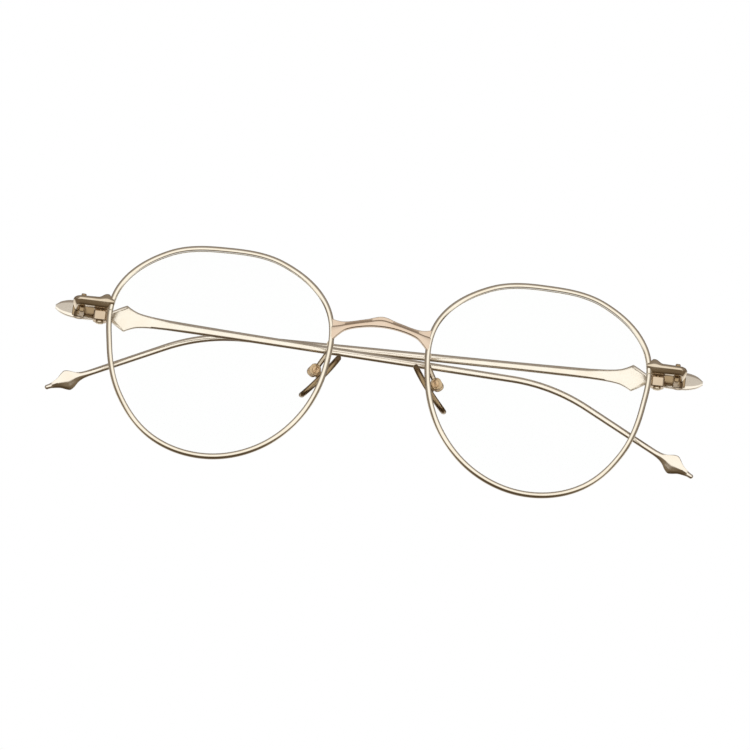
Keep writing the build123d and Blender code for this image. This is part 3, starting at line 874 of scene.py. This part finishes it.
# ---- Build every piece ----
def build():
    make_piece("bridge_plate", *bridge(), "left", BRIDGE_GOLD, "plate", "front", ["bridge"], 15)
    for side in SIDES:
        place, folded = hinge_place(side, False), hinge_place(side, True)
        body, pad = f"temple_{side}", f"pad_{side}"
        table = (
            ("eyewire", eyewire(), WIRE_GOLD, "wire", "front", "rim"),
            ("clear_lens", lens(), LENS, "lens", "front", "lens"),
            ("endpiece_bar", endpiece(), BAR_GOLD, "plate", "front", "endpiece"),
            ("upper_closing_block", closing_half(BLOCK_SPLIT + BLOCK_GAP, BLOCK_TOP), BLOCK_GOLD_PAINTED_SHADE, "wire",
             "front", "closing_block_upper"),
            ("lower_closing_block", closing_half(BLOCK_LOW, BLOCK_SPLIT - BLOCK_GAP), BLOCK_GOLD_PAINTED_SHADE, "wire",
             "front", "closing_block_lower"),
            ("eyewire_screw", closing_screw(), SCREW_GOLD, "screw", "front", "closing_screw"),
            ("front_knuckles", moved(front_hinge(), place), HINGE_GOLD_PAINTED_SHADE, "wire", "front", "hinge_front"),
            ("hinge_pin_screw", moved(hinge_screw(), place), SCREW_GOLD, "screw", "front", "hinge_screw"),
            ("temple_knuckle", moved(temple_hinge(), folded), HINGE_GOLD_PAINTED_SHADE, "wire", body, "hinge_temple"),
            ("temple_arm", moved(temple(), folded), PLATE_GOLD, "plate", body, "temple"),
            ("metal_nose_pad", nose_pad(), PAD_GOLD, "nose_pad", pad, "nose_pad"),
            ("pad_housing", pad_box(), HOUSING_GOLD, "wire", "front", "pad_box"),
            ("pad_pin_screw", pad_screw(), PIN_GOLD_PAINTED_SHADE, "screw", "front", "pad_screw"),
            ("pad_wire_arm", pad_arm(), BAR_GOLD, "wire", "front", "pad_arm"),
        )
        for name, (points, faces), material, slot, body_name, node in table:
            make_piece(f"{name}_{side}", points, faces, side, material, slot, body_name, [f"{node}_{side}"])


# ---- Studio ----
CAMERA_AZIMUTH, CAMERA_ELEVATION, CAMERA_ROLL = -0.725, -16.684, 6.567
CAMERA_DISTANCE = 1.489    # from the origin, metres
CAMERA_LENS = 326.8        # on a 36 mm sensor
CAMERA_OFFSET = (0.000285, 0.000240)   # the origin's place right of and above the view's middle


def make_camera():
    a, e, roll = radians(CAMERA_AZIMUTH), radians(CAMERA_ELEVATION), radians(CAMERA_ROLL)
    back = Vector((sin(a) * cos(e), -cos(a) * cos(e), sin(e)))
    level = Vector((cos(a), sin(a), 0))
    raised = back.cross(level)
    right = cos(roll) * level + sin(roll) * raised
    up = -sin(roll) * level + cos(roll) * raised
    camera = bpy.data.objects.new("camera", bpy.data.cameras.new("camera"))
    bpy.context.scene.collection.objects.link(camera)
    camera.data.sensor_width = 36
    camera.data.lens = CAMERA_LENS
    camera.data.clip_start, camera.data.clip_end = 0.05, 20
    place = back * CAMERA_DISTANCE - right * CAMERA_OFFSET[0] - up * CAMERA_OFFSET[1]
    turn = Matrix((right, up, back)).transposed().to_4x4()
    camera.matrix_world = Matrix.Translation(place) @ turn
    bpy.context.scene.camera = camera


def soft_step(nodes, links, value, low, high):
    """0 up to low, 1 from high on, and smooth between."""
    node = nodes.new("ShaderNodeMapRange")
    node.interpolation_type = "SMOOTHSTEP"
    node.inputs["From Min"].default_value = low
    node.inputs["From Max"].default_value = high
    links.new(value, node.inputs["Value"])
    return node.outputs["Result"]


def times(nodes, links, *values):
    result = values[0]
    for value in values[1:]:
        result = maths(nodes, links, "MULTIPLY", result, value)
    return result


def less(nodes, links, value):
    """One minus a value."""
    return maths(nodes, links, "SUBTRACT", 1, value)


PANEL_TONE, ROOM_TONE, BACK_TONE = (1.14, 1.11, 1.06), (0.34, 0.30, 0.265), (0.19, 0.155, 0.125)
LOW_TONE, TABLE_TONE, REAR_TONE = (0.20, 0.155, 0.105), (0.075, 0.05, 0.026), (0.86, 0.82, 0.76)


def make_world():
    """White where the camera sees it. The metal mirrors a wide bright panel in front, a dimmer one behind,
    a dim room round them and a dark table below."""
    world = bpy.data.worlds.new("studio")
    bpy.context.scene.world = world
    world.use_nodes = True
    nodes, links = world.node_tree.nodes, world.node_tree.links
    split = nodes.new("ShaderNodeSeparateXYZ")
    links.new(nodes.new("ShaderNodeTexCoord").outputs["Generated"], split.inputs[0])
    _, y, z = split.outputs    # of the mirrored direction, each from -1 to 1
    below = blend_colours(nodes, links, soft_step(nodes, links, z, -0.92, -0.58), TABLE_TONE, LOW_TONE)
    around = blend_colours(nodes, links, soft_step(nodes, links, z, -0.25, 0.35), below, ROOM_TONE)
    behind = blend_colours(nodes, links, soft_step(nodes, links, y, -0.15, 0.45), around, BACK_TONE)
    nearer = maths(nodes, links, "ADD", y, ramp(nodes, links, z, -0.36, -0.05, -0.34, 0.0))
    panel = times(nodes, links, soft_step(nodes, links, z, -0.54, -0.40),
                  less(nodes, links, soft_step(nodes, links, z, 0.48, 0.68)),
                  less(nodes, links, soft_step(nodes, links, nearer, -0.90, -0.58)))
    lit = blend_colours(nodes, links, panel, behind, PANEL_TONE)
    rear = times(nodes, links, soft_step(nodes, links, z, -0.55, -0.40),
                 less(nodes, links, soft_step(nodes, links, z, 0.02, 0.16)),
                 soft_step(nodes, links, y, 0.40, 0.60))
    lit = blend_colours(nodes, links, rear, lit, REAR_TONE)
    seen = nodes.new("ShaderNodeLightPath").outputs["Is Camera Ray"]
    final = blend_colours(nodes, links, seen, lit, (1.0, 1.0, 1.0))
    links.new(final, nodes["Background"].inputs["Color"])
    nodes["Background"].inputs["Strength"].default_value = 1.0


FLOOR_HALF, FLOOR_BELOW = 3.0, 0.0005      # metres: half its width, and how far below the eyeglasses
FLOOR_FADE = (0.22, 0.75)  # metres from the middle, between which the table top fades out
FLOOR_COLOUR, FLOOR_ROUGHNESS = (0.88, 0.87, 0.86), 0.7


def floor_material():
    """Pale and matt, but clear from below, where the main camera looks from, and far from the middle."""
    material, nodes, links, shader = new_material("pale_floor")
    shader.inputs["Base Color"].default_value = (*FLOOR_COLOUR, 1)
    shader.inputs["Roughness"].default_value = FLOOR_ROUGHNESS
    geometry = nodes.new("ShaderNodeNewGeometry")
    reach = nodes.new("ShaderNodeVectorMath")
    reach.operation = "LENGTH"
    links.new(geometry.outputs["Position"], reach.inputs[0])
    fade = soft_step(nodes, links, reach.outputs["Value"], *FLOOR_FADE)
    hidden = maths(nodes, links, "MAXIMUM", geometry.outputs["Backfacing"], fade)
    mixed_surface(nodes, links, hidden, shader, nodes.new("ShaderNodeBsdfTransparent"))
    return material


def make_floor():
    half, z = FLOOR_HALF, CAD_LOW.z - FLOOR_BELOW
    corners = [(-half, -half, z), (half, -half, z), (half, half, z), (-half, half, z)]
    mesh = bpy.data.meshes.new("floor")
    mesh.from_pydata(corners, [], [(0, 1, 2, 3)])
    floor = bpy.data.objects.new("floor", mesh)
    bpy.context.scene.collection.objects.link(floor)
    mesh.materials.append(floor_material())
    floor.visible_glossy = False


# Each light's place in metres, power in watts, width in metres and colour.
LIGHTS = {
    "key": ((-0.35, -0.45, 0.60), 7.0, 0.35, (1.0, 0.98, 0.95)),
    "fill": ((0.55, -0.10, 0.50), 3.5, 0.30, (0.97, 0.98, 1.0)),
}


def make_light(name, place, power, size, colour):
    """A square light that faces the eyeglasses and isn't mirrored in them."""
    light = bpy.data.objects.new(name, bpy.data.lights.new(name, "AREA"))
    bpy.context.scene.collection.objects.link(light)
    light.data.energy, light.data.size, light.data.color = power, size, colour
    light.location = place
    light.visible_glossy = False
    light.rotation_mode = "QUATERNION"
    middle = (CAD_LOW + CAD_HIGH) / 2
    light.rotation_quaternion = (middle - Vector(place)).to_track_quat("-Z", "Y")


bpy.context.scene.view_settings.view_transform = "Standard"
make_camera()
make_world()
make_floor()
for name, settings in LIGHTS.items():
    make_light(name, *settings)
build()
